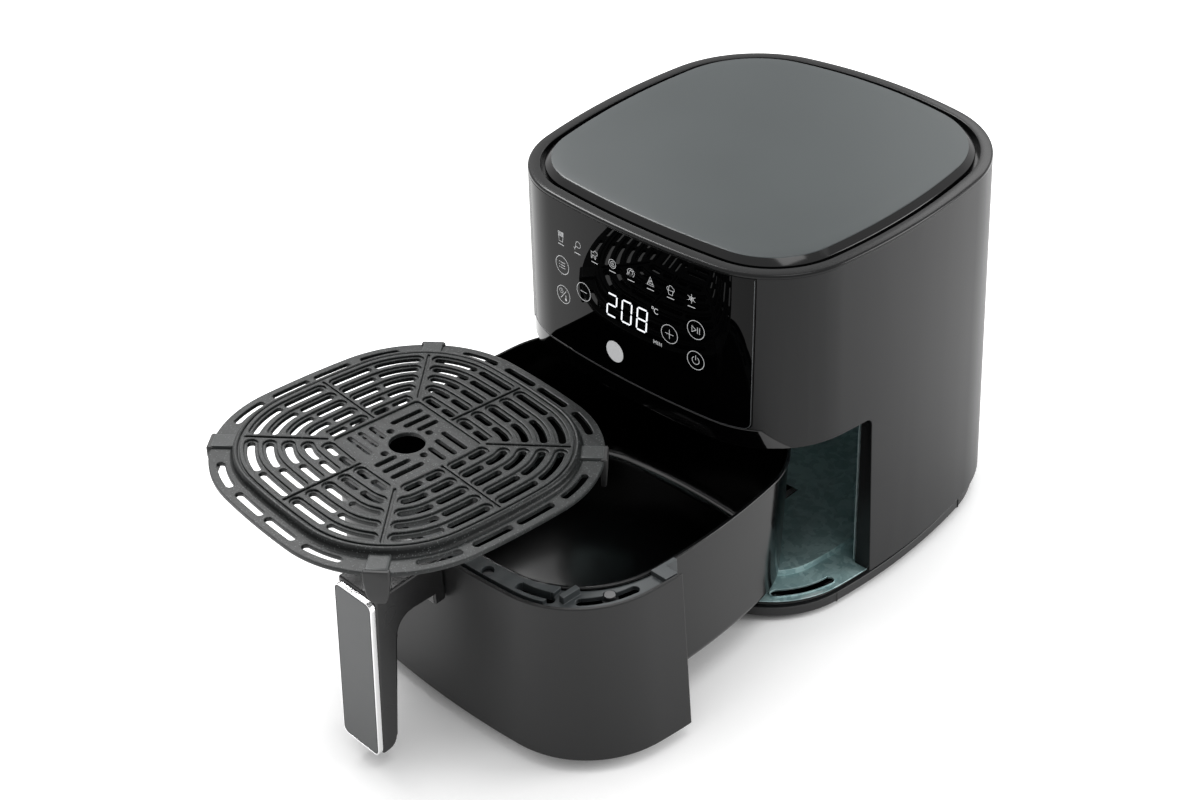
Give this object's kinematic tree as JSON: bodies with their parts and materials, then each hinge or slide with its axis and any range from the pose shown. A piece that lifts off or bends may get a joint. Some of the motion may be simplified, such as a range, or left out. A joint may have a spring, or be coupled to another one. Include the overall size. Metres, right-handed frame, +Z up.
{
  "type": "air fryer",
  "caption": "Countertop air fryer with a glass touch panel, its drawer drawn out and the slotted crisper plate lifted out above it",
  "frame": {"origin": "on the table, under the middle of the whole as shown at rest, with the drawer drawn out", "axes": "+Z up, +Y from the front towards the back, +X to the right when facing the front"},
  "size_m": [0.2976, 0.5479, 0.2775],
  "materials": {
    "housing_plastic": "satin charcoal",
    "ring_plastic": "satin gloss",
    "disc_plastic": "satin grey",
    "panel_glass": "polished black glass panel",
    "lip_plastic": "gloss black",
    "inner_plastic": "matt black",
    "circuit_board": "solder mask",
    "display_parts": "gloss white",
    "spring_steel": "plain",
    "screw_steel": "plain",
    "foot_rubber": "matt",
    "galvanised_sheet": "galvanised",
    "bright_sheet": "plain sheet",
    "heater_tube": "dull",
    "motor_steel": "plain",
    "insulation": "glass wool",
    "pan_coating": "satin non-stick coating",
    "bracket_plastic": "matt grey",
    "handle_plastic": "satin black",
    "chrome_trim": "bright",
    "insert_plastic": "satin grey",
    "plate_coating": "speckled non-stick coating",
    "silicone": "matt silicone"
  },
  "bodies": {
    "housing": {"side_shell": "housing_plastic", "top_ring": "ring_plastic", "top_disc": "disc_plastic", "front_glass": "panel_glass", "front_lip": "lip_plastic", "panel_frame": "inner_plastic", "display_board": "circuit_board", "display_module": "display_parts", "touch_springs": "spring_steel", "base_tray": "inner_plastic", "base_posts": "inner_plastic", "base_screws": "screw_steel", "rubber_feet": "foot_rubber", "oven_floor": "galvanised_sheet", "oven_liner": "galvanised_sheet", "oven_ceiling": "galvanised_sheet", "heater_dome": "bright_sheet", "heating_element": "heater_tube", "element_clips": "bright_sheet", "element_guard": "spring_steel", "motor_body": "motor_steel", "motor_bridge": "bright_sheet", "motor_screws": "screw_steel", "insulation_pad": "insulation", "inner_deck": "inner_plastic", "deck_screws": "screw_steel", "thermostat": "display_parts", "temperature_sensor": "spring_steel", "thermal_fuse": "display_parts", "exhaust_duct": "inner_plastic", "back_grille": "inner_plastic", "cord_gland": "foot_rubber", "power_board": "circuit_board", "relay": "inner_plastic", "transformer": "display_parts", "filter_capacitor": "inner_plastic", "door_switch": "inner_plastic"},
    "drawer": {"pan_shell": "pan_coating", "front_shell": "housing_plastic", "front_bracket": "bracket_plastic", "bracket_screws": "screw_steel", "pan_lugs": "pan_coating", "pan_skids": "silicone", "handle_body": "handle_plastic", "handle_trim": "chrome_trim", "handle_insert": "insert_plastic", "handle_screws": "screw_steel"},
    "lifted_plate": {"crisper_plate": "plate_coating", "plate_feet": "silicone"},
    "fan_rotor": {"motor_shaft": "motor_steel", "hot_fan": "bright_sheet", "fan_nut": "screw_steel", "cooling_fan": "inner_plastic"},
    "switch_arm": {"switch_lever": "spring_steel"}
  },
  "joints": [
    {"name": "drawer_slide", "type": "slide", "parent": "housing", "child": "drawer", "axis": [0, 0.9981, 0.061], "range_m": [0, 0.18034]},
    {"name": "plate_lift", "type": "slide", "parent": "housing", "child": "lifted_plate", "axis": [0, 0, 1], "range_m": [0, 0.08]},
    {"name": "fan_spin", "type": "hinge", "parent": "housing", "child": "fan_rotor", "pos_m": [0.0079, 0.1259, 0.22], "axis": [0, 0, 1], "continuous": true},
    {"name": "switch_swing", "type": "hinge", "parent": "housing", "child": "switch_arm", "pos_m": [0.1049, 0.0159, 0.1538], "axis": [1, 0, 0], "range_deg": [0, 8]}
  ]
}
